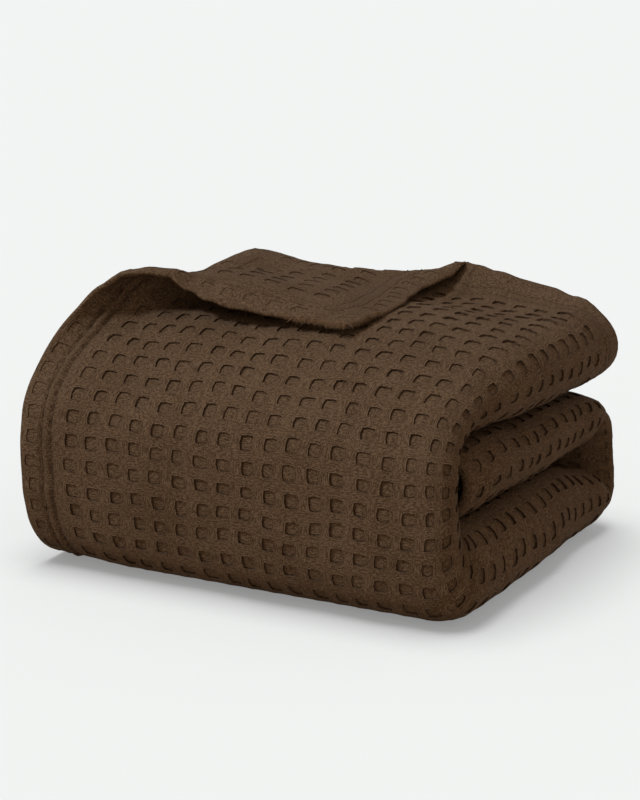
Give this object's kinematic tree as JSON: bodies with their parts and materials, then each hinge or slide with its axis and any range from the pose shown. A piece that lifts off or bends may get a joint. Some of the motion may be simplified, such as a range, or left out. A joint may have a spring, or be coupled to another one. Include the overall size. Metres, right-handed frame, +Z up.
{
  "type": "folded blanket",
  "caption": "Folded waffle-weave cotton blanket with one corner turned over on top, to rest on a shelf, bed or seat.",
  "frame": {"origin": "on the floor, under the middle of the folded blanket", "axes": "+X to the side of the rounded folds, +Y to the back, +Z up; the rounded front faces -Y"},
  "size_m": [0.2982, 0.2502, 0.1766],
  "materials": {
    "cotton": "matt brown waffle-weave cotton"
  },
  "bodies": {
    "root": {"blanket": "cotton"}
  },
  "joints": []
}
